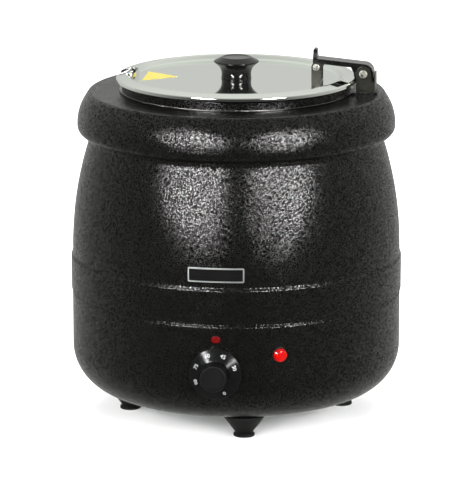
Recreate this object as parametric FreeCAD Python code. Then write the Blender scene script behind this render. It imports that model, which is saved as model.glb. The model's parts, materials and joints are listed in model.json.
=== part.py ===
"""Electric soup kettle: a black coated steel casing round a wet-heat well, with a lift-out stainless
pot, its carrier ring and a hinged lid.

Frame: millimetres, +Z up, origin on the surface the kettle stands on, under the middle of its box.
-Y is the control side, +X the hinge side. Writes one STEP per node to parts/.
"""
import FreeCAD, Part
import math
import os

V = FreeCAD.Vector
ORIGIN, UP = V(0, 0, 0), V(0, 0, 1)

# ---- driving dimensions ----------------------------------------------------------------------
steel = 0.8              # casing sheet
run_gap = 0.3            # between flat or curved faces of different bodies
hem_gap = 0.5            # between the collar's hem and the casing inside it

# pot, and the rings that follow it outwards
pot_r = 109.3            # inside radius of the pot
pot_t = 0.8
pot_round = 15.0
curl_r = 3.2             # outside radius of the pot's rolled rim
water_gap = 4.2          # between the pot's wall and the well's
well_t = 0.7
well_round = 12.0
bore_gap = 1.1           # between the pot's wall and the carrier ring
carrier_edge = 1.5       # of the carrier ring outside the rolled rim
carrier_rim_w, carrier_rim_t = 2.6, 1.6      # hoop round the foot of the carrier ring
hole_step = 0.9          # the collar's hole is this much inside the carrier ring
flange_gap = 6.8         # between the well's wall and the casing's top flange
flange_inset = 12.2      # the well's flange ends this much inside the collar's crease
clamp_count, clamp_stud_r, clamp_hex = 6, 2.0, 7.0

# casing, measured inwards from the drum
jacket_w = 60.2          # from the pot's inside to the outside of the lower casing
belt_step = 1.1          # the belt stands out of the drum
bulge_step = 0.5         # the upper casing starts this much inside the drum
neck_step = 18.3         # and runs up inside the collar this much inside it
collar_step = 6.2
collar_t = 1.0
collar_top_w = 12.3      # from the collar's outside in to its crease
collar_crease_round, collar_shoulder_round, collar_hem_round = 4.5, 49.0, 9.3
drum_fillet = 47.0       # big round at the foot of the drum
base_plate_t = 1.0
plate_margin = 1.5       # the base plate ends this much inside the flat of the floor
foot_inset = 10.4        # feet inside the base plate's edge
mouth_margin = 12.6      # edge of the hole in the casing's floor, inside the feet
seam_lap = 11.0          # how far the lower casing reaches up inside the belt
groove_step, groove_h = 1.4, 1.7                 # groove under the belt, inside the drum

# heights, each from the one below it
drum_bottom_z = 24.3     # underside of the lower casing
drum_h = 106.7           # from there to the belt
belt_h = 34.0
bulge_lead = 6.0         # straight above the belt
upper_h = 121.0          # from the belt's top to where the casing leaves the bulge
neck_h = 50.0            # from there to the collar's top
shoulder_drop, collar_h = 19.0, 44.3
carrier_h = 9.3
lid_seat = 0.5           # between the rolled rim and the lid
base_h = 47.7            # from the lower casing to the well
water_depth = 15.3       # between the well's floor and the pot's

# feet
foot_clock = 11.0        # the feet are turned this many degrees from the control side
foot_top_r, foot_waist_r, foot_pad_r = 22.0, 8.6, 10.8
foot_pad_t, foot_rim_t, foot_recess_r = 2.6, 1.5, 6.0
foot_bolt_r, foot_head_r, foot_head_t, foot_head_z = 2.5, 4.6, 3.2, 9.0
foot_nut_hex, foot_nut_t = 8.0, 4.0

# lid
lid_t = 0.8
lid_overhang = 6.0       # of the lid beyond the carrier ring
lid_dish = 5.0           # depth of the flat middle below the raised ring
lid_crown_w = 3.0        # width of the raised ring's top
lid_wall_w = 4.5         # width of the slope between the flat and the ring
lid_bevel_drop = 2.2
lid_rim_h = 5.8          # from the raised ring to the lower edge of the rim
notch_reach = 6.3        # the ladle notch's end, inside the pot's wall
notch_w, notch_round = 33.0, 6.0
notch_lip_t, notch_lip_h = 1.0, 0.6
knob_h, knob_head_drop = 22.4, 4.6
knob_waist_r, knob_head_r, knob_top_r = 15.2, 23.8, 14.6
knob_screw_r, knob_screw_reach = 2.5, 12.0
washer_r, washer_t = 8.0, 1.0
sticker_inset, sticker_w, sticker_len, sticker_t = 11.0, 48.0, 33.0, 0.3

# hinge
pin_reach, pin_rise, pin_r = 8.0, 21.0, 2.5      # pin from the lid's edge and the collar's top
pin_fit = 0.06           # radial running clearance of the arm on its pin
bracket_t = 1.5
ear_round = 7.6
ear_gap = 0.8            # between the lid's rim and the ears
bracket_w = 23.0         # outside width over both ears
rivet_r, rivet_head_r, rivet_head_t, rivet_inset = 1.6, 3.0, 1.4, 5.5
arm_w = 19.0             # outside width of the arm
arm_t = 1.5
arm_curl_r = 10.0        # outside radius of the arm's round end
arm_side_h = 5.0
arm_rise_deg = 5.5       # the arm climbs this much towards the lid's middle
lid_open_deg = 100.0     # the lid's travel; its stop meets the arm one degree further on
stop_gap = 0.5           # between the arm's round end and its stop
tab_inset, tab_w, tab_t = 21.8, 10.0, 1.3
tab_gap = 0.2            # between the arm's sides and the tab's
tab_pin_rise, tab_pin_r, tab_rivet_y = 15.0, 2.2, 5.0
thumb_inset, thumb_t = 3.8, 4.2
thumb_rise, thumb_tip_w = 33.0, 10.0

# controls
dial_drop = 50.2         # below the belt
dial_wall_gap = 1.6
skirt_r, skirt_rim_t, skirt_h = 26.4, 2.2, 7.5
grip_r, dial_h = 13.2, 22.0
spindle_r, spindle_fit = 3.0, 0.06
spindle_flat, spindle_end = 0.9, 6.0             # depth of the spindle's flat, and of its ends
thermostat_w, thermostat_h, thermostat_d = 36.0, 34.0, 22.0
thermostat_setback = 9.0
thermostat_screw_x, thermostat_screw_r, thermostat_head_r = 14.0, 1.9, 3.4
spacer_r = 3.6
pole_x, pole_drop, pole_len = 12.0, 14.2, 9.0    # the thermostat's two wire tabs, below its middle
lamp_deg, lamp_rise, lamp_r = 21.7, 18.1, 6.9
lamp_neck_r, lamp_barrel_r, lamp_tail = 5.0, 3.8, 34.0
mark_gap, mark_w, mark_h, mark_t = 8.4, 9.5, 7.0, 1.2    # the gap is from the skirt to its middle
badge_rise, badge_w, badge_h, badge_t, badge_round = 16.2, 56.6, 14.6, 0.9, 1.6
badge_border, badge_pocket = 1.3, 0.5

# heating and wiring
element_ring_r, element_tube_r = 76.0, 3.25
element_gap = (-60, 240)                         # its two ends, in degrees round the axis
tail_len, tail_pin_r, tail_pin_len = 18.0, 1.6, 26.0
clamp_plate_r, clamp_plate_t, clamp_eye_r = 92.0, 1.5, 12.0
rod_circle_r, rod_r, rod_hex, rod_nut_t = 48.0, 3.0, 10.0, 5.0
slot_r, slot_w, slot_len, slot_count = 76.0, 4.0, 16.0, 12
gland_rise, gland_bore_r, gland_thread_r, gland_hex, gland_nose_r = 57.7, 3.8, 7.6, 19.0, 8.6
block_y, block_half_w, block_half_d, block_h = 62.0, 21.0, 9.0, 14.0
pole_pitch, clamp_screw_y, clamp_screw_r = 13.0, 4.0, 2.2
way_rise = 5.3                                   # height of the block's wire ways
earth_x, earth_y, earth_r, earth_h = 40.0, 46.0, 2.0, 14.0
bulb_y, bulb_half, capillary_r = -54.0, 28.0, 1.1
wire_r = 1.3


# ---- drawing helpers -------------------------------------------------------------------------
def unit(a, b):
    d = (b[0] - a[0], b[1] - a[1])
    n = math.hypot(*d)
    return d[0] / n, d[1] / n


def shifted(points, by):
    """The polyline moved sideways, to its left if by is positive, with its corners kept sharp."""
    lines = []
    for a, b in zip(points, points[1:]):
        ux, uy = unit(a, b)
        lines.append(((a[0] - uy * by, a[1] + ux * by), (ux, uy)))
    out = [lines[0][0]]
    for (p, u), (q, w) in zip(lines, lines[1:]):
        cross = u[0] * w[1] - u[1] * w[0]
        s = ((q[0] - p[0]) * w[1] - (q[1] - p[1]) * w[0]) / cross
        out.append((p[0] + u[0] * s, p[1] + u[1] * s))
    (p, u), last, before = lines[-1], points[-1], points[-2]
    length = math.hypot(last[0] - before[0], last[1] - before[1])
    out.append((p[0] + u[0] * length, p[1] + u[1] * length))
    return out


def rounded(points, rounds):
    """Edges along a polyline in the XZ plane. rounds holds one corner radius for each inner point."""
    edges, at = [], points[0]
    for i, radius in enumerate(rounds, 1):
        a, b, c = points[i - 1], points[i], points[i + 1]
        u, w = unit(b, a), unit(b, c)
        half = math.acos(max(-1.0, min(1.0, u[0] * w[0] + u[1] * w[1]))) / 2
        if radius <= 0:
            edges.append(((at, b), None))
            at = b
            continue
        reach = radius / math.tan(half)
        start = (b[0] + u[0] * reach, b[1] + u[1] * reach)
        end = (b[0] + w[0] * reach, b[1] + w[1] * reach)
        mid_dir = unit((0, 0), (u[0] + w[0], u[1] + w[1]))
        away = radius / math.sin(half) - radius
        middle = (b[0] + mid_dir[0] * away, b[1] + mid_dir[1] * away)
        edges.append(((at, start), None))
        edges.append(((start, end), middle))
        at = end
    edges.append(((at, points[-1]), None))
    out = []
    for (a, b), middle in edges:
        if math.hypot(b[0] - a[0], b[1] - a[1]) < 1e-6:
            continue
        p, q = V(a[0], 0, a[1]), V(b[0], 0, b[1])
        if middle is None:
            out.append(Part.makeLine(p, q))
        else:
            out.append(Part.Arc(p, V(middle[0], 0, middle[1]), q).toShape())
    return out


def turned_face(edges):
    return Part.Face(Part.Wire(edges)).revolve(ORIGIN, UP, 360)


def sheet(points, rounds, wall):
    """Sheet turned about Z. The wall lies to the left of the path, and a round is the path's own."""
    other = shifted(points, wall)
    other_rounds = []
    for i, radius in enumerate(rounds, 1):
        u, w = unit(points[i - 1], points[i]), unit(points[i], points[i + 1])
        left_turn = u[0] * w[1] - u[1] * w[0] > 0
        other_rounds.append(max(radius - wall, 0.2) if left_turn else radius + wall)
    near, far = rounded(points, rounds), rounded(other, other_rounds)
    caps = []
    for a, b in ((points[-1], other[-1]), (points[0], other[0])):
        caps.append(Part.makeLine(V(a[0], 0, a[1]), V(b[0], 0, b[1])))
    loop = Part.__sortEdges__(near + [caps[0]] + far + [caps[1]])
    return turned_face(loop)


def turned(points, rounds=None):
    """A solid turned about Z from a closed outline of (radius, height), corners rounded if asked."""
    n = len(points)
    rounds = rounds or [0] * n
    start = ((points[0][0] + points[-1][0]) / 2, (points[0][1] + points[-1][1]) / 2)
    path = [start] + list(points) + [start]
    return turned_face(rounded(path, rounds))


def cylinder(radius, low, high, x=0.0, y=0.0):
    return Part.makeCylinder(radius, high - low, V(x, y, low), UP)


def ring(outer, inner, low, high, x=0.0, y=0.0):
    body = cylinder(outer, low, high, x, y)
    return body.cut(cylinder(inner, low - 1, high + 1, x, y))


def box(x0, x1, y0, y1, z0, z1):
    return Part.makeBox(x1 - x0, y1 - y0, z1 - z0, V(x0, y0, z0))


def hexagon(across, low, high, x=0.0, y=0.0):
    corner = across / math.sqrt(3)
    points = [V(x + corner * math.cos(math.radians(60 * k)), y + corner * math.sin(math.radians(60 * k)), low)
              for k in range(7)]
    return Part.Face(Part.makePolygon(points)).extrude(V(0, 0, high - low))


def nut(across, bore, low, high, x=0.0, y=0.0):
    return hexagon(across, low, high, x, y).cut(cylinder(bore, low - 1, high + 1, x, y))


def on_wall(shape, degrees, z):
    """Takes a shape built round Z, with its foot at z = 0, and stands it out of the wall at the
    given angle from the control side, its foot on the kettle's axis."""
    shape = shape.copy()
    shape.rotate(ORIGIN, V(1, 0, 0), 90)
    shape.rotate(ORIGIN, UP, degrees)
    shape.translate(V(0, 0, z))
    return shape


def at_angle(degrees, radius):
    a = math.radians(degrees)
    return radius * math.cos(a), radius * math.sin(a)


def around(count, radius, start, make):
    """One compound of count pieces, each made at its own place on a circle."""
    places = [at_angle(start + 360.0 / count * k, radius) for k in range(count)]
    return Part.makeCompound([make(x, y) for x, y in places])


def slab(points, y0, y1):
    """A flat piece in the XZ plane, extruded from y0 to y1."""
    corners = [V(x, y0, z) for x, z in points]
    return Part.Face(Part.makePolygon(corners + corners[:1])).extrude(V(0, y1 - y0, 0))


def rod_y(radius, y0, y1, x, z):
    return Part.makeCylinder(radius, y1 - y0, V(x, y0, z), V(0, 1, 0))


def bent_tube(points, radius, bend_share=0.45):
    """A round tube along straight runs joined by tangent arcs."""
    points = [V(*p) for p in points]
    edges, at = [], points[0]
    for a, b, c in zip(points, points[1:], points[2:]):
        u, w = (a - b).normalize(), (c - b).normalize()
        reach = bend_share * min((a - b).Length, (c - b).Length)
        half = u.getAngle(w) / 2
        bend = reach * math.tan(half)
        start, end = b + u * reach, b + w * reach
        middle = b + (u + w).normalize() * (bend / math.sin(half) - bend)
        edges += [Part.makeLine(at, start), Part.Arc(start, middle, end).toShape()]
        at = end
    edges.append(Part.makeLine(at, points[-1]))
    path = Part.Wire(edges)
    round_end = Part.Wire(Part.makeCircle(radius, points[0], points[1] - points[0]))
    return path.makePipeShell([round_end], True, True)


nodes = {}


def keep(name, shape):
    nodes[name] = shape


# ---- values that follow ----------------------------------------------------------------------
drum_r = pot_r + jacket_w
belt_r = drum_r + belt_step
bulge_r = drum_r - bulge_step
neck_in_r = drum_r - neck_step
collar_r = drum_r - collar_step
collar_crease_r = collar_r - collar_top_w
base_plate_r = drum_r - drum_fillet - plate_margin
foot_circle_r = base_plate_r - foot_inset
drum_mouth_r = foot_circle_r - mouth_margin
well_r = pot_r + pot_t + water_gap
carrier_bore_r = pot_r + pot_t + bore_gap
carrier_r = pot_r + 2 * curl_r + carrier_edge
carrier_rim_r = carrier_r + carrier_rim_w
collar_hole_r = carrier_r - hole_step
casing_flange_r = well_r + well_t + flange_gap
well_flange_r = collar_crease_r - flange_inset
clamp_circle_r = (casing_flange_r + well_flange_r) / 2
lid_r = carrier_r + lid_overhang
lid_crown_out_r = pot_r + curl_r
lid_crown_in_r = lid_crown_out_r - lid_crown_w
lid_flat_r = lid_crown_in_r - lid_wall_w
notch_in_r = pot_r - notch_reach
pin_x = lid_r + pin_reach
ear_in_x = lid_r + ear_gap
ear_out_x = pin_x + arm_curl_r + stop_gap + bracket_t
rivet_xs = (ear_in_x + rivet_inset, ear_out_x - rivet_inset)
tab_x = lid_flat_r - tab_inset
thumb_x = tab_x - thumb_inset

belt_bottom_z = drum_bottom_z + drum_h
belt_top_z = belt_bottom_z + belt_h
bulge_start_z = belt_top_z + bulge_lead
neck_in_z = belt_top_z + upper_h
collar_top_z = neck_in_z + neck_h
collar_shoulder_z = collar_top_z - shoulder_drop
collar_hem_z = collar_top_z - collar_h
collar_under_z = collar_top_z - collar_t
carrier_low_z = collar_top_z + run_gap           # underside of the carrier ring and its hoop
carrier_top_z = collar_top_z + carrier_h
curl_z = carrier_top_z + curl_r                  # middle of the pot's rolled rim
lid_crown_z = curl_z + curl_r + lid_seat + lid_t
lid_centre_z = lid_crown_z - lid_dish            # top of the flat middle
lid_under_z = lid_centre_z - lid_t
lid_rim_z = lid_crown_z - lid_rim_h
pin_z = collar_top_z + pin_rise
tab_pin_z = lid_centre_z + tab_pin_rise
thumb_top_z = lid_centre_z + thumb_rise
well_floor_z = drum_bottom_z + base_h            # underside of the well
pot_floor_z = well_floor_z + well_t + water_depth
well_flange_z = collar_under_z - well_t          # underside of the well's flange
casing_top_z = well_flange_z - steel             # underside of the casing's top flange
base_plate_z = drum_bottom_z - base_plate_t
floor_in_z = drum_bottom_z + steel               # top of the lower casing's floor
way_z = floor_in_z + way_rise
bracket_base_z = carrier_low_z + carrier_rim_t
dial_z = belt_bottom_z - dial_drop
lamp_z = dial_z + lamp_rise
mark_z = dial_z + skirt_r + mark_gap
badge_z = belt_top_z + badge_rise
gland_z = drum_bottom_z + gland_rise

bulge_rise, bulge_shrink = neck_in_z - bulge_start_z, bulge_r - neck_in_r
bulge_whole = (bulge_rise ** 2 + bulge_shrink ** 2) / (2 * bulge_shrink)
bulge_turn = math.asin(bulge_rise / bulge_whole)
bulge_corner_z = bulge_start_z + bulge_whole * math.tan(bulge_turn / 2)
bulge_round = 0.97 * bulge_whole                 # leaves a short straight at either end
seam_r = belt_r - steel                          # outside of the lower casing where it is lapped
wall_in_r = drum_r - steel
dial_back = drum_r + dial_wall_gap               # distance of the dial's back from the axis
gland_reach = dial_wall_gap + dial_h             # the gland stands out as far as the dial does
thermostat_front = wall_in_r - thermostat_setback
thermostat_back = thermostat_front - thermostat_d
ear_y = bracket_w / 2
tab_half = arm_w / 2 + tab_gap + tab_t
element_z = well_floor_z - element_tube_r
clamp_plate_z = element_z - element_tube_r - clamp_plate_t


# ---- casing ----------------------------------------------------------------------------------
def upper_casing():
    path = [(casing_flange_r, casing_top_z + steel), (neck_in_r, casing_top_z + steel),
            (neck_in_r, neck_in_z), (bulge_r, bulge_corner_z), (bulge_r, belt_top_z + 3.0),
            (belt_r, belt_top_z), (belt_r, belt_bottom_z)]
    body = sheet(path, [3.0, 3.0, bulge_round, 3.0, 3.0], -steel)
    holes = around(clamp_count, clamp_circle_r, 30,
                   lambda x, y: cylinder(clamp_stud_r + 0.3, casing_top_z - 1, collar_top_z, x, y))
    return body.cut(holes)


def lower_casing():
    groove_r, groove_z = drum_r - groove_step, belt_bottom_z + 0.4
    path = [(seam_r, belt_bottom_z + seam_lap), (seam_r, groove_z + 2.8), (groove_r, groove_z),
            (groove_r, groove_z - groove_h), (drum_r, groove_z - groove_h - 2.4), (drum_r, drum_bottom_z),
            (drum_mouth_r, drum_bottom_z)]
    body = sheet(path, [1.0, 1.0, 1.0, 2.0, drum_fillet], -steel)
    for x, y in foot_places():
        body = body.cut(cylinder(foot_bolt_r + 0.3, base_plate_z - 1, floor_in_z + 1, x, y))
    reach = drum_r + 5
    body = body.cut(on_wall(cylinder(spindle_r + 2.0, wall_in_r - 5, reach), 0, dial_z))
    for x in (-thermostat_screw_x, thermostat_screw_x):
        body = body.cut(rod_y(thermostat_screw_r + 0.4, -reach, -wall_in_r + 5, x, dial_z))
    body = body.cut(on_wall(cylinder(lamp_neck_r + 0.2, wall_in_r - 5, reach), lamp_deg, lamp_z))
    return body.cut(on_wall(cylinder(gland_thread_r + 0.2, wall_in_r - 5, reach), 180, gland_z))


def collar_ring():
    path = [(collar_hole_r, collar_top_z), (collar_crease_r, collar_top_z),
            (collar_r, collar_shoulder_z), (collar_r, collar_hem_z),
            (neck_in_r + hem_gap, collar_hem_z)]
    return sheet(path, [collar_crease_round, collar_shoulder_round, collar_hem_round], -collar_t)


def water_well():
    outside = well_r + well_t
    path = [(0, well_floor_z), (outside, well_floor_z), (outside, well_flange_z),
            (well_flange_r, well_flange_z)]
    body = sheet(path, [well_round, 3.0], well_t)
    holes = around(clamp_count, clamp_circle_r, 30,
                   lambda x, y: cylinder(clamp_stud_r + 0.3, well_flange_z - 1, collar_top_z, x, y))
    return body.cut(holes)


def clamp_studs():
    return around(clamp_count, clamp_circle_r, 30,
                  lambda x, y: cylinder(clamp_stud_r, casing_top_z - 8, collar_under_z, x, y))


def clamp_nuts():
    return around(clamp_count, clamp_circle_r, 30,
                  lambda x, y: nut(clamp_hex, clamp_stud_r, casing_top_z - 3.2, casing_top_z, x, y))


# ---- base ------------------------------------------------------------------------------------
def foot_places():
    return [at_angle(-90 + foot_clock + 90 * k, foot_circle_r) for k in range(4)]


def rod_places():
    return [at_angle(60 + 120 * k, rod_circle_r) for k in range(3)]


def base_plate():
    plate = cylinder(base_plate_r, base_plate_z, drum_bottom_z)
    for x, y in foot_places():
        plate = plate.cut(cylinder(foot_bolt_r + 0.3, base_plate_z - 1, drum_bottom_z + 1, x, y))
    for x, y in rod_places():
        plate = plate.cut(cylinder(rod_r + 0.3, base_plate_z - 1, drum_bottom_z + 1, x, y))
    slots = []
    for k in range(slot_count):
        slot = box(slot_r - slot_len / 2, slot_r + slot_len / 2, -slot_w / 2, slot_w / 2,
                   base_plate_z - 1, drum_bottom_z + 1)
        slot.rotate(ORIGIN, UP, 360 / slot_count * (k + 0.5))
        slots.append(slot)
    return plate.cut(Part.makeCompound(slots))


def foot(x, y):
    top = base_plate_z
    body = turned([(0, 0), (foot_pad_r, 0), (foot_pad_r, foot_pad_t), (foot_waist_r, foot_pad_t + 1.2),
                   (foot_top_r, top - foot_rim_t), (foot_top_r, top), (0, top)], [0, 0.8, 0.8, 0, 0, 0, 0])
    body = body.cut(cylinder(foot_recess_r, -1, foot_head_z))
    body = body.cut(cylinder(foot_bolt_r, -1, top + 1))
    body.translate(V(x, y, 0))
    return body


def foot_bolts():
    def bolt(x, y):
        head = cylinder(foot_head_r, foot_head_z - foot_head_t, foot_head_z, x, y)
        cross = box(x - 3, x + 3, y - 0.5, y + 0.5, foot_head_z - foot_head_t, foot_head_z - foot_head_t + 1)
        shank = cylinder(foot_bolt_r, foot_head_z, floor_in_z + 6, x, y)
        return head.fuse(shank).cut(cross)
    return Part.makeCompound([bolt(x, y) for x, y in foot_places()])


def foot_nuts():
    return Part.makeCompound([nut(foot_nut_hex, foot_bolt_r, floor_in_z, floor_in_z + foot_nut_t, x, y)
                              for x, y in foot_places()])


# ---- heating ---------------------------------------------------------------------------------
def heating_element():
    start, end = (math.radians(a) for a in element_gap)
    half = math.radians(90)
    points = [V(element_ring_r * math.cos(a), element_ring_r * math.sin(a), element_z)
              for a in (start, half, end)]
    path = Part.Wire(Part.Arc(*points).toShape())
    along = V(-math.sin(start), math.cos(start), 0)
    section = Part.Wire(Part.makeCircle(element_tube_r, points[0], along))
    hoop = path.makePipeShell([section], True, True)
    tails = []
    for p in (points[0], points[2]):
        tails.append(Part.makeCylinder(element_tube_r, tail_len, p, V(0, 0, -1)))
        tails.append(Part.makeSphere(element_tube_r, p))
        tails.append(Part.makeCylinder(tail_pin_r, tail_pin_len, p, V(0, 0, -1)))
    for tail in tails:
        hoop = hoop.fuse(tail)
    return hoop


def clamp_plate():
    plate = cylinder(clamp_plate_r, clamp_plate_z, clamp_plate_z + clamp_plate_t)
    for x, y in rod_places():
        plate = plate.cut(cylinder(rod_r + 0.3, clamp_plate_z - 1, element_z, x, y))
    for degrees in element_gap:
        x, y = at_angle(degrees, element_ring_r)
        plate = plate.cut(cylinder(element_tube_r + 2, clamp_plate_z - 1, element_z, x, y))
    return plate.cut(cylinder(clamp_eye_r, clamp_plate_z - 1, element_z))


def tie_rods():
    return Part.makeCompound([cylinder(rod_r, base_plate_z - 8, well_floor_z, x, y)
                              for x, y in rod_places()])


def tie_nuts():
    nuts = []
    for x, y in rod_places():
        nuts.append(nut(rod_hex, rod_r, base_plate_z - rod_nut_t, base_plate_z, x, y))
        nuts.append(nut(rod_hex, rod_r, clamp_plate_z - rod_nut_t, clamp_plate_z, x, y))
    return Part.makeCompound(nuts)


def thermal_cutout():
    top = well_floor_z
    body = cylinder(8.0, top - 7, top).fuse(cylinder(11.0, top - 1.2, top))
    for x in (-4.5, 4.5):
        body = body.fuse(box(x - 0.4, x + 0.4, -3, 3, top - 15, top - 7))
    return body


def sensor_bulb():
    """The thermostat's bulb, nipped between the clamp plate and the well like the element."""
    return Part.makeCylinder(element_tube_r, 2 * bulb_half, V(-bulb_half, bulb_y, element_z), V(1, 0, 0))


def capillary_tube():
    """From the bulb, out through the gap in the element, to the thermostat's back."""
    back, x, start, low = -thermostat_back, -0.4 * thermostat_w, -bulb_half, element_z
    top = dial_z - 10.8
    return bent_tube([(start, bulb_y, low), (start - 6, bulb_y, low), (start - 5, bulb_y - 11, low),
                      (start - 1, bulb_y - 26, low), (start, bulb_y - 43, low - 2),
                      (start + 4, (bulb_y - 43 + back + 15) / 2 - 3, low - 8), (x - 3, back + 15, top - 9),
                      (x, back + 8, top), (x, back, top)], capillary_r)


# ---- controls --------------------------------------------------------------------------------
def thermostat_body():
    body = box(-thermostat_w / 2, thermostat_w / 2, -thermostat_front, -thermostat_back,
               dial_z - thermostat_h / 2, dial_z + thermostat_h / 2)
    body = body.fuse(rod_y(5.2, -wall_in_r + 2, -thermostat_front, 0, dial_z))
    for x in (-pole_x, pole_x):
        body = body.fuse(box(x - 3.1, x + 3.1, -thermostat_back, -thermostat_back + pole_len,
                             dial_z - pole_drop - 0.4, dial_z - pole_drop + 0.4))
    for x in (-thermostat_screw_x, thermostat_screw_x):
        body = body.cut(rod_y(thermostat_screw_r, -thermostat_front, -thermostat_front + 8, x, dial_z))
    return body.cut(rod_y(spindle_r + spindle_fit, -wall_in_r, -thermostat_back - spindle_end, 0, dial_z))


def wall_at(x):
    """Depth of the drum's inner and outer face at a sideways offset x from the control side."""
    return math.sqrt(wall_in_r ** 2 - x ** 2), math.sqrt(drum_r ** 2 - x ** 2)


def thermostat_spacers():
    made = []
    for x in (-thermostat_screw_x, thermostat_screw_x):
        inner = wall_at(abs(x) + spacer_r)[0]
        tube = rod_y(spacer_r, -inner, -thermostat_front, x, dial_z)
        made.append(tube.cut(rod_y(thermostat_screw_r + 0.3, -inner - 1, -thermostat_front + 1, x, dial_z)))
    return Part.makeCompound(made)


def thermostat_screws():
    made = []
    for x in (-thermostat_screw_x, thermostat_screw_x):
        seat = wall_at(abs(x) - thermostat_head_r)[1]
        head = rod_y(thermostat_head_r, -seat - 1.6, -seat, x, dial_z)
        made.append(head.fuse(rod_y(thermostat_screw_r, -seat, -thermostat_front + 7.5, x, dial_z)))
    return Part.makeCompound(made)


def spindle():
    end = dial_back + dial_h - spindle_end
    body = rod_y(spindle_r, -end, -thermostat_back - spindle_end - run_gap, 0, dial_z)
    flat = box(-4, 4, -end - 1, -dial_back, dial_z + spindle_r - spindle_flat, dial_z + 5)
    return body.cut(flat)


def dial_skirt():
    body = turned([(grip_r - 1, 0), (skirt_r, 0), (skirt_r, skirt_rim_t), (grip_r + 1.6, skirt_h),
                   (grip_r - 1, skirt_h)], [0, 0.4, 1.0, 1.2, 0])
    return body.cut(cylinder(skirt_r - 3.2, -1, 1.8))


def dial_grip():
    """The hub and finger grip. Its round flange stands in front of the skirt."""
    body = turned([(0, 0), (grip_r - 1, 0), (grip_r - 1, skirt_h), (grip_r + 0.6, skirt_h),
                   (grip_r, dial_h), (0, dial_h)], [0, 0, 0, 0.5, 1.0, 0])
    bore = cylinder(spindle_r, -1, dial_h - spindle_end)
    flat = box(-4, 4, spindle_r - spindle_flat, 5, -1, dial_h)
    hollow = ring(grip_r - 2.6, spindle_r + 3.0, -1, dial_h - 8.0)
    dish = turned([(0, dial_h + 1), (grip_r - 2.4, dial_h + 1), (grip_r - 3.2, dial_h - 0.6),
                   (0, dial_h - 0.6)])
    return body.cut(bore.cut(flat)).cut(hollow).cut(dish)


def dial_placed(shape):
    body = shape.copy()
    body.translate(V(0, 0, dial_back))
    return on_wall(body, 0, dial_z)


def lamp_lens():
    proud = 4.6
    body = turned([(0, drum_r + 1.0), (lamp_r, drum_r + 1.0), (lamp_r, drum_r + 2.0),
                   (lamp_r - 0.4, drum_r + 3.2), (lamp_r - 2.4, drum_r + proud), (0, drum_r + proud + 0.7)],
                  [0, 0, 0, 1.4, 2.2, 0])
    return on_wall(body, lamp_deg, lamp_z)


def lamp_body():
    flange = cylinder(lamp_r + 0.9, drum_r, drum_r + 1.0)
    neck = cylinder(lamp_neck_r, wall_in_r - 16, drum_r + 1.0)
    barrel = cylinder(lamp_barrel_r, wall_in_r - 26, wall_in_r - 16)
    body = flange.fuse(neck).fuse(barrel)
    for x in (-2, 2):
        body = body.fuse(box(x - 0.4, x + 0.4, -1.4, 1.4, wall_in_r - lamp_tail, wall_in_r - 26))
    return on_wall(body, lamp_deg, lamp_z)


def lamp_nut():
    low = wall_in_r - 5.0
    high = wall_at(9.0)[0]
    return on_wall(nut(14.0, lamp_neck_r, low, high), lamp_deg, lamp_z)


def index_mark():
    """A small raised oval mark above the dial, following the drum's curve."""
    end_r, half = mark_h / 2, (mark_w - mark_h) / 2
    front, back = -drum_r - 5, -drum_r + 5
    oval = box(-half, half, front, back, mark_z - end_r, mark_z + end_r)
    for x in (-half, half):
        oval = oval.fuse(rod_y(end_r, front, back, x, mark_z))
    skin = ring(drum_r + mark_t, drum_r, mark_z - mark_h, mark_z + mark_h)
    body = skin.common(oval.removeSplitter())
    brow = [e for e in body.Edges
            if min(math.hypot(v.X, v.Y) for v in e.Vertexes) > drum_r + mark_t - 0.05]
    return body.makeFillet(mark_t * 0.6, brow)


def bulge_at(z):
    """Outside radius of the upper casing at height z, on the bulge just above the belt."""
    climb = max(0.0, z - bulge_corner_z + bulge_round * math.tan(bulge_turn / 2))
    return bulge_r - bulge_round + math.sqrt(bulge_round ** 2 - climb ** 2)


def badge_piece(back, front, inset):
    """A rounded oblong that follows the bulge, between two heights above its skin."""
    low, mid, high = badge_z - badge_h / 2, badge_z, badge_z + badge_h / 2
    inner = [V(bulge_at(z) + back, 0, z) for z in (low, mid, high)]
    outer = [V(bulge_at(z) + front, 0, z) for z in (high, mid, low)]
    loop = [Part.Arc(*inner).toShape(), Part.makeLine(inner[2], outer[0]),
            Part.Arc(*outer).toShape(), Part.makeLine(outer[2], inner[0])]
    sweep = math.degrees(badge_w / bulge_r)
    plate = Part.Face(Part.Wire(loop)).revolve(ORIGIN, UP, sweep)
    plate.rotate(ORIGIN, UP, -90 - sweep / 2)
    half, deep = badge_w / 2 - inset, 9.0
    block = box(-half, half, -bulge_r - deep, -bulge_r + deep, low + inset, high - inset)
    upright = [e for e in block.Edges if abs(e.BoundBox.YLength - 2 * deep) < 0.01]
    return plate.common(block.makeFillet(badge_round - 0.8 * inset, upright))


def name_badge():
    """The badge's plate, with a shallow pocket that leaves a raised border."""
    return badge_piece(0, badge_t, 0).cut(badge_piece(badge_t - badge_pocket, badge_t + 0.5, badge_border))


def badge_field():
    """The dark field in the badge's pocket, left blank."""
    return badge_piece(badge_t - badge_pocket, badge_t - 0.2, badge_border)


def cable_gland():
    """Round-nosed cord gland with its hexagon on the wall. Built round Z, foot at the axis."""
    nose = drum_r + gland_reach
    body = hexagon(gland_hex, drum_r, drum_r + 6)
    body = body.fuse(turned([(0, drum_r + 5.9), (gland_nose_r, drum_r + 5.9), (gland_nose_r, nose - 4.0),
                             (gland_nose_r - 3.0, nose), (0, nose)], [0, 0, 3.0, 0.8, 0]))
    body = body.fuse(cylinder(gland_thread_r, wall_in_r - 12, drum_r + 1))
    return on_wall(body.cut(cylinder(gland_bore_r, wall_in_r - 13, nose + 1)), 180, gland_z)


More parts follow.
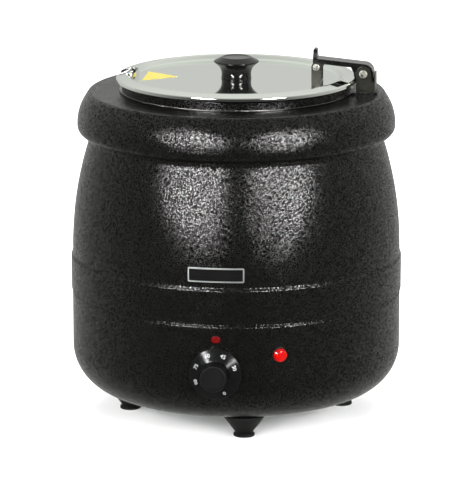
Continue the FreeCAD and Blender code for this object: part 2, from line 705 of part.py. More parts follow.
def gland_nut():
    low = wall_in_r - 8.0
    return on_wall(nut(gland_hex, gland_thread_r, low, wall_at(0.6 * gland_hex)[0]), 180, gland_z)


def terminal_block():
    top = floor_in_z + block_h
    body = box(-block_half_w, block_half_w, block_y - block_half_d, block_y + block_half_d,
               drum_bottom_z, top)
    for x in (-pole_pitch, 0, pole_pitch):
        for y in (block_y - clamp_screw_y, block_y + clamp_screw_y):
            body = body.cut(cylinder(clamp_screw_r, top - 6, top + 2, x, y))
        body = body.cut(rod_y(wire_r, block_y - block_half_d - 1, block_y - 3, x, way_z))
        body = body.cut(rod_y(wire_r, block_y + 3, block_y + block_half_d + 1, x, way_z))
    return body


def terminal_screws():
    top, made = floor_in_z + block_h - 1.6, []
    for x in (-pole_pitch, 0, pole_pitch):
        for y in (block_y - clamp_screw_y, block_y + clamp_screw_y):
            screw = cylinder(clamp_screw_r, top - 4.4, top, x, y)
            made.append(screw.cut(box(x - 2.5, x + 2.5, y - 0.4, y + 0.4, top - 0.8, top + 1)))
    return Part.makeCompound(made)


def earth_stud():
    stud = cylinder(earth_r, drum_bottom_z, drum_bottom_z + earth_h, earth_x, earth_y)
    low = drum_bottom_z + 1.0
    return Part.makeCompound([stud, nut(7.0, earth_r, low, low + 3.2, earth_x, earth_y)])


# ---- wiring ----------------------------------------------------------------------------------
def polar(radius, degrees, z):
    return (*at_angle(degrees - 90, radius), z)


def wires():
    """The leads inside the base, each from a terminal to a terminal."""
    tab_z, low, pin_end = dial_z - pole_drop, floor_in_z + 6.5, element_z - tail_pin_len
    inside, half_way = pole_len - thermostat_back, (pole_len - thermostat_back - 84) / 2 + 8
    start, out = block_y - 6.0, block_y - 22.0
    (right_x, right_y), (left_x, left_y) = (at_angle(a, element_ring_r) for a in element_gap)
    tail = wall_in_r - lamp_tail
    routes = {
        "neutral_lead": [(-pole_pitch, start, way_z), (-pole_pitch, out, way_z), (-22, 24, low),
                         (-34, 6, low + 1), (-40, -16, low + 3), (-42, -42, low + 3),
                         (left_x, left_y + 5, pin_end - 7), (left_x, left_y, pin_end - 5),
                         (left_x, left_y, pin_end)],
        "live_lead": [(0, start, way_z), (0, out, way_z), (-6, 18, low), (-12, -6, low + 1),
                      (-14, -32, low + 1), (-15, -58, low + 3), (-15, -84, low + 6),
                      (-14, half_way, low + 13), (-pole_x, inside + 12, tab_z - 11),
                      (-pole_x, inside + 6, tab_z), (-pole_x, inside, tab_z)],
        "element_lead": [(pole_x, inside, tab_z), (pole_x, inside + 6, tab_z),
                         (pole_x + 2, inside + 12, tab_z - 11), (22, half_way, low + 16),
                         (32, -88, low + 8), (right_x, right_y - 7, pin_end - 7),
                         (right_x, right_y, pin_end - 5), (right_x, right_y, pin_end)],
        "lamp_lead": [polar(tail, lamp_deg, lamp_z), polar(tail - 5, lamp_deg, lamp_z),
                      polar(tail - 6, lamp_deg + 3, lamp_z - 14), polar(tail - 12, lamp_deg + 7, lamp_z - 36),
                      (63, -90, low + 17), (62, -66, low + 6), (60, -40, low + 1), (50, -12, low + 1),
                      (36, 10, low + 1), (17, 32, low), (pole_pitch, out + 2, way_z),
                      (pole_pitch, start, way_z)],
    }
    return {name: bent_tube(points, wire_r) for name, points in routes.items()}


# ---- lift-out pot and carrier ring -----------------------------------------------------------
def soup_pot():
    top = curl_z + curl_r
    path = [(0, pot_floor_z + pot_t), (pot_r, pot_floor_z + pot_t), (pot_r, top), (pot_r + 2 * curl_r, top),
            (pot_r + 2 * curl_r, carrier_top_z), (pot_r + pot_t + 1.6, carrier_top_z)]
    return sheet(path, [pot_round, curl_r, curl_r, curl_r], -pot_t)


def hinge_lug():
    """The tongue of the carrier ring that carries the hinge bracket."""
    lug = box(carrier_r - 3, ear_out_x + 2.2, -ear_y - 1.5, ear_y + 1.5, carrier_low_z, bracket_base_z)
    outer = [e for e in lug.Edges if e.BoundBox.ZLength > 1 and e.BoundBox.XMin > carrier_r]
    return lug.makeFillet(5.0, outer)


def carrier_ring():
    spigot_r, spigot_z = collar_hole_r - 0.4, collar_under_z + run_gap
    body = turned([(carrier_bore_r, spigot_z), (spigot_r, spigot_z), (spigot_r, carrier_low_z),
                   (carrier_r, carrier_low_z), (carrier_r, carrier_top_z), (carrier_bore_r, carrier_top_z)],
                  [0, 0, 0, 0, 1.0, 0.8])
    body = body.fuse(hinge_lug()).cut(cylinder(carrier_bore_r, spigot_z - 1, carrier_top_z + 1))
    for x in rivet_xs:
        body = body.cut(cylinder(rivet_r, carrier_low_z - 1, bracket_base_z + 1, x, 0))
    return body


def carrier_trim():
    """A bright steel hoop round the foot of the carrier ring, open where the hinge lug comes out."""
    hoop = turned([(carrier_r, carrier_low_z), (carrier_rim_r, carrier_low_z),
                   (carrier_rim_r, bracket_base_z), (carrier_r, bracket_base_z)], [0, 0.4, 0.6, 0])
    return hoop.cut(hinge_lug())


# ---- hinge -----------------------------------------------------------------------------------
def ear_outline():
    """Plate with a round head on the pin and a wider foot, its near face at y = 0."""
    foot = box(ear_in_x, ear_out_x, 0, bracket_t, bracket_base_z, bracket_base_z + 4)
    head = rod_y(ear_round, 0, bracket_t, pin_x, pin_z)
    web = slab([(ear_in_x, bracket_base_z + 3), (ear_out_x, bracket_base_z + 3),
                (pin_x + ear_round, pin_z), (pin_x - ear_round, pin_z)], 0, bracket_t)
    return foot.fuse(head).fuse(web)


def hinge_bracket():
    ear = ear_outline()
    near, far = ear.copy(), ear.copy()
    near.translate(V(0, -ear_y, 0))
    far.translate(V(0, ear_y - bracket_t, 0))
    floor = box(ear_in_x, ear_out_x, -ear_y, ear_y, bracket_base_z, bracket_base_z + bracket_t)
    lean = math.radians(lid_open_deg + arm_rise_deg + 1 - 90)
    reach = arm_curl_r + stop_gap
    stop_top = pin_z + (reach * math.cos(lean) - arm_curl_r) / math.sin(lean)
    stop = box(pin_x + reach, pin_x + reach + bracket_t, -ear_y, ear_y, bracket_base_z, stop_top)
    body = near.fuse(far).fuse(floor).fuse(stop)
    body = body.cut(rod_y(pin_r, -ear_y - 1, ear_y + 1, pin_x, pin_z))
    for x in rivet_xs:
        body = body.cut(cylinder(rivet_r, bracket_base_z - 1, bracket_base_z + 3, x, 0))
    return body.removeSplitter()


def rivet(x, y, low, seat):
    """A headed rivet that fills its hole from low up to the seat of its head."""
    return cylinder(rivet_r, low, seat, x, y).fuse(cylinder(rivet_head_r, seat, seat + rivet_head_t, x, y))


def bracket_rivets():
    return Part.makeCompound([rivet(x, 0, carrier_low_z, bracket_base_z + bracket_t) for x in rivet_xs])


def screw_y(radius, head_r, head_t, half_span, x, z):
    """A cross pin along Y with a slotted domed head in front and a plain nut behind."""
    body = rod_y(radius, -half_span, half_span + 3.6, x, z)
    head = rod_y(head_r, -half_span - head_t, -half_span, x, z)
    rim = [e for e in head.Edges if e.BoundBox.YMax < -half_span - head_t + 0.01]
    head = head.makeFillet(head_t * 0.6, rim)
    slot = box(x - head_r, x + head_r, -half_span - head_t - 1, -half_span - head_t + 0.7, z - 0.5, z + 0.5)
    slot.rotate(V(x, 0, z), V(0, 1, 0), 35)
    return body.fuse(head.cut(slot))


def nut_y(across, bore, y0, thick, x, z):
    body = nut(across, bore, 0, thick)
    body.rotate(ORIGIN, V(1, 0, 0), -90)
    body.translate(V(x, y0, z))
    return body


def arm_line(x):
    """Height of the arm's outer face at x, along its climbing straight part."""
    slope = math.radians(arm_rise_deg)
    return pin_z + arm_curl_r / math.cos(slope) + (pin_x - x) * math.tan(slope)


def thumb_tab():
    """The arm's end turned up and hemmed double, narrowing to a rounded tip."""
    half, tip_half, low = arm_w / 2, thumb_tip_w / 2, arm_line(thumb_x) - arm_t
    shoulder = arm_line(thumb_x) + 1.0
    outline = [(-half, low), (half, low), (half, shoulder), (tip_half, shoulder + 4), (tip_half, thumb_top_z),
               (-tip_half, thumb_top_z), (-tip_half, shoulder + 4), (-half, shoulder)]
    corners = [V(thumb_x, y, z) for y, z in outline]
    tab = Part.Face(Part.makePolygon(corners + corners[:1])).extrude(V(thumb_t, 0, 0))
    tip = [e for e in tab.Edges if e.BoundBox.ZMin > thumb_top_z - 0.01 and e.BoundBox.YLength > 1]
    return tab.makeFillet(thumb_t * 0.45, tip)


def hinge_arm():
    """An inverted channel that starts round the pin and ends in the upright thumb tab."""
    slope = math.radians(arm_rise_deg)
    half, inner = arm_w / 2, arm_w / 2 - arm_t
    drop = arm_t / math.cos(slope)
    lobe_z = pin_z - pin_r - 3.0
    side = slab([(thumb_x, arm_line(thumb_x)), (pin_x, arm_line(pin_x)), (pin_x, lobe_z),
                 (pin_x - 6.5, lobe_z), (pin_x - 13, arm_line(pin_x - 13) - arm_side_h),
                 (tab_x + 8, arm_line(tab_x + 8) - arm_side_h), (tab_x + 4, tab_pin_z - 4.2),
                 (thumb_x, tab_pin_z - 4.2)], -half, half)
    curl = rod_y(arm_curl_r, -half, half, pin_x, pin_z)
    curl = curl.cut(box(pin_x - 20, pin_x + 20, -arm_w, arm_w, pin_z - 20, lobe_z))
    hollow = slab([(thumb_x - 1, arm_line(thumb_x - 1) - drop), (pin_x, arm_line(pin_x) - drop),
                   (pin_x, pin_z - 20), (thumb_x - 1, pin_z - 20)], -inner, inner)
    hollow = hollow.fuse(rod_y(arm_curl_r - arm_t, -inner, inner, pin_x, pin_z))
    body = side.fuse(curl).cut(hollow).fuse(thumb_tab())
    body = body.cut(rod_y(pin_r + pin_fit, -arm_w, arm_w, pin_x, pin_z))
    return body.cut(rod_y(tab_pin_r, -arm_w, arm_w, tab_x, tab_pin_z)).removeSplitter()


def lid_tab():
    half, foot = tab_half, lid_centre_z
    block = box(tab_x - tab_w / 2, tab_x + tab_w / 2, -half, half, foot, tab_pin_z)
    block = block.fuse(rod_y(tab_w / 2, -half, half, tab_x, tab_pin_z))
    block = block.cut(box(tab_x - 10, tab_x + 10, -half + tab_t, half - tab_t, foot + tab_t, tab_pin_z + 20))
    block = block.cut(rod_y(tab_pin_r, -half - 1, half + 1, tab_x, tab_pin_z))
    for y in (-tab_rivet_y, tab_rivet_y):
        block = block.cut(cylinder(rivet_r, foot - 1, foot + 3, tab_x, y))
    return block


def tab_rivets():
    tails = [cylinder(2.6, lid_under_z - 1.0, lid_under_z, tab_x, y) for y in (-tab_rivet_y, tab_rivet_y)]
    return Part.makeCompound([rivet(tab_x, y, lid_under_z, lid_centre_z + tab_t).fuse(tail)
                              for y, tail in zip((-tab_rivet_y, tab_rivet_y), tails)])


# ---- lid -------------------------------------------------------------------------------------
lid_path = [(0, lid_centre_z), (lid_flat_r, lid_centre_z), (lid_crown_in_r, lid_crown_z),
            (lid_crown_out_r, lid_crown_z), (lid_r, lid_crown_z - lid_bevel_drop), (lid_r, lid_rim_z)]
lid_rounds = [4.0, 3.0, 8.0, 2.2]


def notch_prism(grow, low, high):
    """The ladle notch in the rim opposite the hinge, grown by a margin, as an upright prism."""
    half = notch_w / 2 + grow
    body = box(-lid_r - 20, -notch_in_r + grow, -half, half, low, high)
    inner = [e for e in body.Edges if e.BoundBox.ZLength > 1 and e.BoundBox.XMin > -lid_r - 5]
    return body.makeFillet(notch_round + grow, inner)


def lid_disc():
    body = sheet(lid_path, lid_rounds, -lid_t)
    body = body.cut(notch_prism(0, lid_centre_z - 20, lid_crown_z + 20))
    below = turned_face(rounded(lid_path + [(0, lid_rim_z), lid_path[0]], lid_rounds + [0, 0]))
    lip = notch_prism(notch_lip_t, lid_centre_z - 1, lid_crown_z + notch_lip_h)
    lip = lip.cut(notch_prism(0, lid_centre_z - 5, lid_crown_z + 20))
    body = body.fuse(lip.common(cylinder(lid_crown_out_r, lid_rim_z, lid_crown_z + 20)).cut(below))
    body = body.cut(cylinder(knob_screw_r + 0.3, lid_centre_z - 5, lid_centre_z + 5))
    for y in (-tab_rivet_y, tab_rivet_y):
        body = body.cut(cylinder(rivet_r, lid_centre_z - 5, lid_centre_z + 5, tab_x, y))
    return body.removeSplitter()


def lid_knob():
    foot, top = lid_centre_z, lid_centre_z + knob_h
    widest = top - knob_head_drop
    body = turned([(0, foot), (knob_waist_r + 0.4, foot), (knob_waist_r, foot + 3),
                   (knob_waist_r, widest - 7.6), (knob_head_r, widest), (knob_top_r, top),
                   (knob_top_r - 2.4, top - 0.9), (0, top - 1.1)], [0, 0.5, 3.0, 12.0, 0.9, 1.4, 1.0, 0])
    return body.cut(cylinder(knob_screw_r, foot - 1, foot + knob_screw_reach + 1))


def knob_washer():
    return ring(washer_r, knob_screw_r + 0.2, lid_under_z - washer_t, lid_under_z)


def knob_screw():
    seat = lid_under_z - washer_t
    head = cylinder(4.6, seat - 2.6, seat)
    slot = box(-5, 5, -0.5, 0.5, seat - 3, seat - 1.6)
    return head.cut(slot).fuse(cylinder(knob_screw_r, seat, lid_centre_z + knob_screw_reach))


def lid_sticker():
    """A plain three-cornered sticker on the flat of the lid, on the notch side."""
    base, half = sticker_inset - lid_flat_r, sticker_w / 2
    points = [(base, -half), (base, half), (base + sticker_len, 0)]
    corners = [V(x, y, lid_centre_z) for x, y in points]
    face = Part.Face(Part.makePolygon(corners + corners[:1]))
    return face.extrude(V(0, 0, sticker_t))


# ---- build -----------------------------------------------------------------------------------
def build():
    keep("upper_casing", upper_casing())
    keep("lower_casing", lower_casing())
    keep("collar_ring", collar_ring())
    keep("water_well", water_well())
    keep("clamp_studs", clamp_studs())
    keep("clamp_nuts", clamp_nuts())
    keep("base_plate", base_plate())
    for name, (x, y) in zip(("foot_front", "foot_right", "foot_rear", "foot_left"), foot_places()):
        keep(name, foot(x, y))
    keep("foot_bolts", foot_bolts())
    keep("foot_nuts", foot_nuts())
    keep("heating_element", heating_element())
    keep("element_clamp_plate", clamp_plate())
    keep("tie_rods", tie_rods())
    keep("tie_nuts", tie_nuts())
    keep("thermal_cutout", thermal_cutout())
    keep("sensor_bulb", sensor_bulb())
    keep("capillary_tube", capillary_tube())
    keep("thermostat_body", thermostat_body())
    keep("thermostat_spacers", thermostat_spacers())
    keep("thermostat_screws", thermostat_screws())
    keep("pilot_lamp_lens", lamp_lens())
    keep("pilot_lamp_body", lamp_body())
    keep("pilot_lamp_nut", lamp_nut())
    keep("index_mark", index_mark())
    keep("name_badge", name_badge())
    keep("badge_field", badge_field())
    keep("cable_gland", cable_gland())
    keep("gland_nut", gland_nut())
    keep("terminal_block", terminal_block())
    keep("terminal_screws", terminal_screws())
    keep("earth_stud", earth_stud())
    for name, wire in wires().items():
        keep(name, wire)
    keep("dial_skirt", dial_placed(dial_skirt()))
    keep("dial_grip", dial_placed(dial_grip()))
    keep("thermostat_spindle", spindle())
    keep("soup_pot", soup_pot())
    keep("carrier_ring", carrier_ring())
    keep("carrier_trim", carrier_trim())
    keep("hinge_bracket", hinge_bracket())
    keep("bracket_rivets", bracket_rivets())
    keep("hinge_pin", screw_y(pin_r, 4.2, 2.0, ear_y, pin_x, pin_z))
    keep("hinge_pin_nut", nut_y(8.0, pin_r, ear_y, 3.2, pin_x, pin_z))
    keep("lid_disc", lid_disc())
    keep("lid_knob", lid_knob())
    keep("knob_washer", knob_washer())
    keep("knob_screw", knob_screw())
    keep("hinge_arm", hinge_arm())
    keep("lid_tab", lid_tab())
    keep("tab_rivets", tab_rivets())
    keep("tab_screw", screw_y(tab_pin_r, 3.7, 1.8, tab_half, tab_x, tab_pin_z))
    keep("tab_screw_nut", nut_y(7.0, tab_pin_r, tab_half, 3.0, tab_x, tab_pin_z))
    keep("lid_sticker", lid_sticker())


def write():
    os.makedirs("parts", exist_ok=True)
    for name, shape in nodes.items():
        solids = shape.Solids
        if not solids or not all(s.isValid() and s.Volume > 0 for s in solids):
            raise ValueError(f"{name} is not made of sound solids")
        whole = solids[0] if len(solids) == 1 else Part.makeCompound(solids)
        whole.exportStep(f"parts/{name}.step")
        print(f"{name:22s} {len(solids):2d} solid(s) {shape.Volume / 1000:9.2f} cm3")


build()
write()
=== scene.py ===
"""Looks of the soup kettle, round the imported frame. Metres, +Z up, -Y the control side."""
import json
import math
import bpy
from mathutils import Matrix, Quaternion, Vector


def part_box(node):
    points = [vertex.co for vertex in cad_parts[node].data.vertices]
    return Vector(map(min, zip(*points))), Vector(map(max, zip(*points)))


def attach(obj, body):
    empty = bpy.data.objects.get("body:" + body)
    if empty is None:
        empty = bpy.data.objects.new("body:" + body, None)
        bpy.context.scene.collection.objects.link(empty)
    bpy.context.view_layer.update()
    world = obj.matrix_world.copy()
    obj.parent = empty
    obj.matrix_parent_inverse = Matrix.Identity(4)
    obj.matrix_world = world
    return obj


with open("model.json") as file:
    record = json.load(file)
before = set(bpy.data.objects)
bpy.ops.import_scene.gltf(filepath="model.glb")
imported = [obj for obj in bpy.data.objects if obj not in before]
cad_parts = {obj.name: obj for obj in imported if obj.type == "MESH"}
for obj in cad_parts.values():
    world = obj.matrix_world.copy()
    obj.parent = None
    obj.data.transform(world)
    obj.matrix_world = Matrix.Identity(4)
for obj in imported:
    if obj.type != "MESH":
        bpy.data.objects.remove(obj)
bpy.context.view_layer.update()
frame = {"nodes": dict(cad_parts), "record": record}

nodes = frame["nodes"]
MM = 0.001


# ---- camera ----------------------------------------------------------------------------------
def make_camera():
    turn, tilt = math.radians(7.0), math.radians(13.422)
    distance, height, aside = 3.70, 1.05, -0.006
    data = bpy.data.cameras.new("camera")
    data.lens, data.sensor_width = 264.65, 36.0
    data.clip_end = 60.0
    camera = bpy.data.objects.new("camera", data)
    bpy.context.scene.collection.objects.link(camera)
    camera.location = (distance * math.sin(turn) + aside * math.cos(turn),
                       -distance * math.cos(turn) + aside * math.sin(turn), height)
    camera.rotation_euler = (math.pi / 2 - tilt, 0, turn)
    bpy.context.scene.camera = camera


# ---- node helpers ----------------------------------------------------------------------------
class Nodes:
    """A material's node tree, with short calls for the few kinds used here."""

    def __init__(self, name):
        self.material = bpy.data.materials.new(name)
        self.material.use_nodes = True
        self.tree = self.material.node_tree
        self.shader = self.tree.nodes["Principled BSDF"]
        self.coords = self.tree.nodes.new("ShaderNodeTexCoord").outputs["Object"]

    def set(self, **values):
        for key, value in values.items():
            self.shader.inputs[key.replace("_", " ")].default_value = value
        return self

    def link(self, out, to):
        self.tree.links.new(out, to)

    def noise(self, scale, detail=2.0, roughness=0.5, stretch=None):
        node = self.tree.nodes.new("ShaderNodeTexNoise")
        node.inputs["Scale"].default_value = scale
        node.inputs["Detail"].default_value = detail
        node.inputs["Roughness"].default_value = roughness
        self.link(self.stretched(stretch) if stretch else self.coords, node.inputs["Vector"])
        return node.outputs["Fac"]

    def grains(self, scale):
        """Packed grains: each one's distance from its middle, and a random value of its own."""
        node = self.tree.nodes.new("ShaderNodeTexVoronoi")
        node.inputs["Scale"].default_value = scale
        self.link(self.coords, node.inputs["Vector"])
        return node.outputs["Distance"], node.outputs["Color"]

    def stretched(self, scale):
        node = self.tree.nodes.new("ShaderNodeMapping")
        node.inputs["Scale"].default_value = scale
        self.link(self.coords, node.inputs["Vector"])
        return node.outputs["Vector"]

    def ramp(self, out, low, high, start=0.0, end=1.0):
        node = self.tree.nodes.new("ShaderNodeMapRange")
        for key, value in (("From Min", start), ("From Max", end), ("To Min", low), ("To Max", high)):
            node.inputs[key].default_value = value
        self.link(out, node.inputs["Value"])
        return node.outputs["Result"]

    def blend(self, factor, first, second):
        node = self.tree.nodes.new("ShaderNodeMix")
        node.data_type = "RGBA"
        node.inputs["A"].default_value = (*first, 1)
        node.inputs["B"].default_value = (*second, 1)
        self.link(factor, node.inputs["Factor"])
        return node.outputs["Result"]

    def bump(self, height, strength, distance):
        node = self.tree.nodes.new("ShaderNodeBump")
        node.inputs["Strength"].default_value = strength
        node.inputs["Distance"].default_value = distance
        self.link(height, node.inputs["Height"])
        self.link(node.outputs["Normal"], self.shader.inputs["Normal"])
        return self

    def rough(self, out):
        self.link(out, self.shader.inputs["Roughness"])
        return self

    def color(self, out):
        self.link(out, self.shader.inputs["Base Color"])
        return self


# ---- materials -------------------------------------------------------------------------------
def powder_coat():
    """Black textured powder coat: fine grains, each with a gloss of its own."""
    m = Nodes("black_powder_coat")
    dome, own = m.grains(980)
    m.bump(dome, 1.0, -0.00017)
    m.rough(m.ramp(m.noise(340, 3.0), 0.14, 0.22, 0.3, 0.7))
    m.link(m.ramp(own, 0.02, 0.62, 0.36, 0.70), m.shader.inputs["Specular IOR Level"])
    m.color(m.blend(m.noise(90, 4.0), (0.0013, 0.0013, 0.0011), (0.0025, 0.0025, 0.0022)))
    return m.material


def mirror_steel():
    """Polished stainless sheet with faint wiping marks."""
    m = Nodes("mirror_steel").set(Metallic=1.0, Base_Color=(0.78, 0.81, 0.765, 1))
    m.rough(m.ramp(m.noise(26, 5.0, 0.6), 0.035, 0.075, 0.35, 0.7))
    m.bump(m.noise(9, 1.0), 0.05, 0.0004)
    return m.material


def polished_steel():
    m = Nodes("polished_steel").set(Metallic=1.0)
    m.color(m.blend(m.noise(140, 3.0), (0.09, 0.09, 0.085), (0.13, 0.13, 0.125)))
    m.rough(m.ramp(m.noise(60, 4.0, stretch=(1, 8, 8)), 0.12, 0.24, 0.3, 0.7))
    return m.material


def brushed(name, dark, light, low, high, stretch):
    """Brushed metal, its grain drawn out along the axis that is scaled least."""
    m = Nodes(name).set(Metallic=1.0)
    grain = m.noise(220, 4.0, 0.65, stretch)
    m.color(m.blend(grain, dark, light))
    m.rough(m.ramp(grain, low, high, 0.3, 0.7))
    m.bump(grain, 0.12, 0.0002)
    return m.material


def plastic(name, dark, light, low, high, grain=700, strength=0.08, shine=0.5):
    """Moulded plastic: a very slight mottle, fine orange peel and uneven gloss."""
    m = Nodes(name).set(Specular_IOR_Level=shine)
    m.color(m.blend(m.noise(120, 3.0), dark, light))
    m.rough(m.ramp(m.noise(200, 3.0), low, high, 0.3, 0.7))
    m.bump(m.noise(grain, 2.0), strength, 0.0003)
    return m.material


def lamp_plastic():
    m = Nodes("lamp_red").set(Transmission_Weight=0.15, IOR=1.49, Specular_IOR_Level=0.2)
    m.set(Coat_Weight=0.25, Coat_Roughness=0.05)
    m.color(m.blend(m.noise(160, 2.0), (0.20, 0.0006, 0.0003), (0.32, 0.0012, 0.0006)))
    m.rough(m.ramp(m.noise(240, 2.0), 0.10, 0.18, 0.3, 0.7))
    return m.material


def make_materials():
    round_grain, even_grain = (1, 1, 9), (1, 1, 1)
    made = {
        "black_coating": powder_coat(),
        "lid_steel": mirror_steel(),
        "hinge_steel": polished_steel(),
        "lamp_red": lamp_plastic(),
    }
    # name: darker colour, lighter colour, lowest and highest roughness, how the grain is stretched
    metals = {
        "bracket_steel": ((0.028, 0.028, 0.024), (0.065, 0.063, 0.054), 0.26, 0.42, round_grain),
        "hoop_steel": ((0.10, 0.10, 0.095), (0.16, 0.16, 0.15), 0.14, 0.22, round_grain),
        "pot_steel": ((0.42, 0.42, 0.40), (0.54, 0.54, 0.52), 0.24, 0.36, (1, 1, 14)),
        "well_steel": ((0.48, 0.48, 0.46), (0.58, 0.58, 0.56), 0.28, 0.40, (1, 1, 14)),
        "zinc_steel": ((0.50, 0.49, 0.44), (0.70, 0.68, 0.62), 0.22, 0.38, even_grain),
        "base_steel": ((0.40, 0.41, 0.40), (0.52, 0.53, 0.52), 0.30, 0.45, (1, 7, 1)),
        "badge_metal": ((0.76, 0.76, 0.75), (0.86, 0.86, 0.85), 0.26, 0.38, (1, 1, 10)),
        "element_steel": ((0.16, 0.14, 0.12), (0.30, 0.26, 0.22), 0.4, 0.6, even_grain),
        "copper_tube": ((0.60, 0.30, 0.18), (0.76, 0.42, 0.27), 0.25, 0.4, even_grain),
        "brass": ((0.62, 0.48, 0.22), (0.76, 0.60, 0.32), 0.22, 0.36, even_grain),
    }
    for name, look in metals.items():
        made[name] = brushed(name, *look)
    # name: darker colour, lighter colour, lowest and highest roughness, then grain, strength, shine
    plastics = {
        "knob_black": ((0.002, 0.002, 0.002), (0.005, 0.005, 0.005), 0.09, 0.15, 500, 0.03, 0.3),
        "dial_black": ((0.0015, 0.0015, 0.0015), (0.003, 0.003, 0.003), 0.12, 0.20, 500, 0.03, 0.22),
        "grip_black": ((0.0015, 0.0015, 0.0015), (0.003, 0.003, 0.003), 0.36, 0.48, 1100, 0.25, 0.15),
        "foot_rubber": ((0.003, 0.003, 0.003), (0.006, 0.006, 0.006), 0.45, 0.62, 900, 0.2, 0.15),
        "numeral_white": ((0.20, 0.21, 0.21), (0.26, 0.27, 0.27), 0.4, 0.5),
        "lamp_housing": ((0.002, 0.002, 0.002), (0.005, 0.005, 0.005), 0.3, 0.4, 700, 0.08, 0.2),
        "mark_red": ((0.045, 0.0002, 0.0002), (0.080, 0.0004, 0.0004), 0.20, 0.30, 700, 0.08, 0.25),
        "badge_black": ((0.002, 0.002, 0.002), (0.004, 0.004, 0.004), 0.16, 0.26, 700, 0.08, 0.2),
        "sticker_yellow": ((0.36, 0.28, 0.03), (0.44, 0.35, 0.05), 0.32, 0.42),
        "thermostat_case": ((0.62, 0.60, 0.52), (0.70, 0.68, 0.60), 0.4, 0.5),
        "gland_nylon": ((0.012, 0.012, 0.012), (0.020, 0.020, 0.020), 0.34, 0.46),
        "lead_brown": ((0.14, 0.05, 0.02), (0.20, 0.08, 0.03), 0.45, 0.55),
        "lead_blue": ((0.02, 0.08, 0.30), (0.03, 0.12, 0.42), 0.45, 0.55),
        "lead_white": ((0.70, 0.70, 0.66), (0.82, 0.82, 0.78), 0.45, 0.55),
    }
    for name, look in plastics.items():
        made[name] = plastic(name, *look)
    return made


def paint_nodes(materials):
    for part in frame["record"]["subparts"]:
        node = nodes[part["node"]]
        node.data.materials.clear()
        node.data.materials.append(materials[part["material_slot"]])


# ---- stage and light -------------------------------------------------------------------------
def make_floor():
    """A plain pale floor. The glossy pieces don't mirror it, so the black coat stays dark."""
    mesh = bpy.data.meshes.new("floor")
    half = 14.0
    corners = [(-half, -half, 0), (half, -half, 0), (half, half, 0), (-half, half, 0)]
    mesh.from_pydata(corners, [], [(0, 1, 2, 3)])
    floor = bpy.data.objects.new("floor", mesh)
    bpy.context.scene.collection.objects.link(floor)
    m = Nodes("floor").set(Roughness=0.9, Specular_IOR_Level=0.1)
    m.color(m.blend(m.noise(3, 2.0), (0.86, 0.86, 0.86), (0.88, 0.88, 0.88)))
    mesh.materials.append(m.material)
    floor.visible_glossy = False


def area_light(name, azimuth, elevation, distance, size, power, spread,
               aim=(0, 0, 0.2), roll=0, mirrored=True):
    """A softbox that faces its aim. Azimuth 0 is the control side, 90 the hinge side. One that isn't
    mirrored lights the floor and the matt pieces and leaves no highlight."""
    a, e = math.radians(azimuth), math.radians(elevation)
    data = bpy.data.lights.new(name, "AREA")
    data.shape = "RECTANGLE"
    data.size, data.size_y = size
    data.energy = power
    data.spread = math.radians(spread)
    light = bpy.data.objects.new(name, data)
    bpy.context.scene.collection.objects.link(light)
    back = Vector((math.sin(a) * math.cos(e), -math.cos(a) * math.cos(e), math.sin(e)))
    light.location = Vector(aim) + back * distance
    light.rotation_mode = "QUATERNION"
    facing = (-back).to_track_quat("-Z", "Y")
    light.rotation_quaternion = facing @ Quaternion((0, 0, 1), math.radians(roll))
    light.visible_camera = False
    light.visible_glossy = mirrored


def make_world():
    """Studio surround, dim towards the control side and bright behind and above."""
    world = bpy.data.worlds.new("studio")
    world.use_nodes = True
    tree = world.node_tree
    direction = tree.nodes.new("ShaderNodeTexCoord").outputs["Generated"]
    parts = tree.nodes.new("ShaderNodeSeparateXYZ")
    tree.links.new(direction, parts.inputs["Vector"])
    total = tree.nodes.new("ShaderNodeMath")
    slopes = ((0, "Y", -0.9, 0.6, 0.06, 0.62), (1, "Z", 0.1, 0.9, 0.0, 0.34))
    for socket, axis, low, high, dim, bright in slopes:
        span = tree.nodes.new("ShaderNodeMapRange")
        for key, value in (("From Min", low), ("From Max", high), ("To Min", dim), ("To Max", bright)):
            span.inputs[key].default_value = value
        tree.links.new(parts.outputs[axis], span.inputs["Value"])
        tree.links.new(span.outputs["Result"], total.inputs[socket])
    background = tree.nodes["Background"]
    background.inputs["Color"].default_value = (0.985, 1.0, 0.965, 1)
    tree.links.new(total.outputs["Value"], background.inputs["Strength"])
    bpy.context.scene.world = world


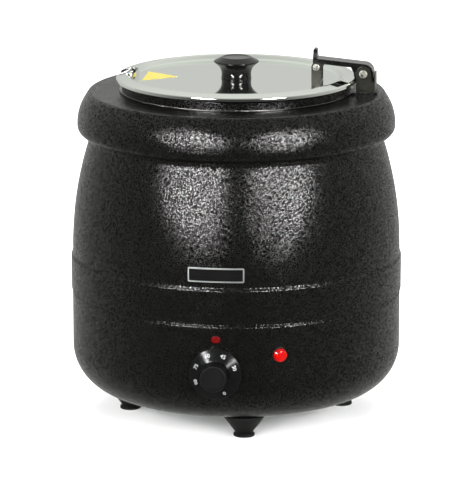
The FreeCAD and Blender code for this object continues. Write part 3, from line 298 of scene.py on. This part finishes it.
def make_light():
    make_world()
    area_light("strip_left", -24, 18, 2.3, (0.26, 1.05), 3.8, 36, roll=58)
    area_light("strip_right", 42, 18, 2.3, (0.26, 1.05), 3.6, 36, roll=-58)
    area_light("softbox_top", 187, 80, 2.0, (1.6, 1.6), 17, 110, (0, 0.35, 0), mirrored=False)
    area_light("softbox_back", 187, 84, 2.2, (2.6, 2.2), 34, 100, (0, 1.7, 0), mirrored=False)
    area_light("fill_left", -82, 20, 1.9, (1.6, 0.9), 26, 160, mirrored=False)
    area_light("fill_right", 98, 20, 1.9, (1.6, 0.9), 26, 160, mirrored=False)
    area_light("fill_front", 8, 9, 1.7, (2.0, 0.5), 12, 140, (0, 0, 0), mirrored=False)
    bpy.context.scene.view_settings.view_transform = "Standard"


# ---- dial numerals ---------------------------------------------------------------------------
numeral_size, numeral_circle_r = 5.6 * MM, 20.6 * MM
numeral_relief, numeral_swell = 0.06 * MM, 0.08 * MM
numeral_lift = 0.02 * MM         # the print stands this much off the skirt
skirt_rim_t = 2.2 * MM           # the skirt's edge, before its slope starts
slope_gap = 1.0 * MM             # between the grip and the slope's inner end
numerals = {"0": -63, "30": 22, "45": 67, "60": 112, "75": 157, "90": 202}   # degrees round the dial


def make_numerals(material):
    """White numerals printed on the dial's sloping skirt, reading outwards from the grip."""
    skirt_low, skirt_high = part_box("dial_skirt")
    grip_low, grip_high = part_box("dial_grip")
    centre_z = (skirt_low.z + skirt_high.z) / 2
    rim = (skirt_high.z - skirt_low.z) / 2
    grip = (grip_high.z - grip_low.z) / 2
    back_y, front_y = skirt_high.y, skirt_low.y
    rim_y = back_y - skirt_rim_t
    slope_w = rim - (grip + slope_gap)
    slope = math.atan2(rim_y - front_y, slope_w)
    share = (rim - numeral_circle_r) / slope_w
    surface_y = rim_y + (front_y - rim_y) * share
    for word, degrees in numerals.items():
        curve = bpy.data.curves.new("numeral_" + word, "FONT")
        curve.body = word
        curve.size = numeral_size
        curve.align_x, curve.align_y = "CENTER", "CENTER"
        curve.extrude = numeral_relief
        curve.offset = numeral_swell
        text = bpy.data.objects.new("numeral_" + word, curve)
        bpy.context.scene.collection.objects.link(text)
        upright = Matrix.Rotation(math.pi / 2, 4, "X")
        lean = Matrix.Rotation(-slope, 4, "X")
        a = math.radians(degrees)
        place = Vector((numeral_circle_r * math.cos(a), surface_y - numeral_lift,
                        centre_z + numeral_circle_r * math.sin(a)))
        turn = Matrix.Rotation(math.radians(90 - degrees), 4, "Y")
        text.matrix_world = Matrix.Translation(place) @ turn @ upright @ lean
        curve.materials.append(material)
        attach(text, "dial")


make_camera()
materials = make_materials()
paint_nodes(materials)
make_floor()
make_light()
make_numerals(materials["numeral_white"])
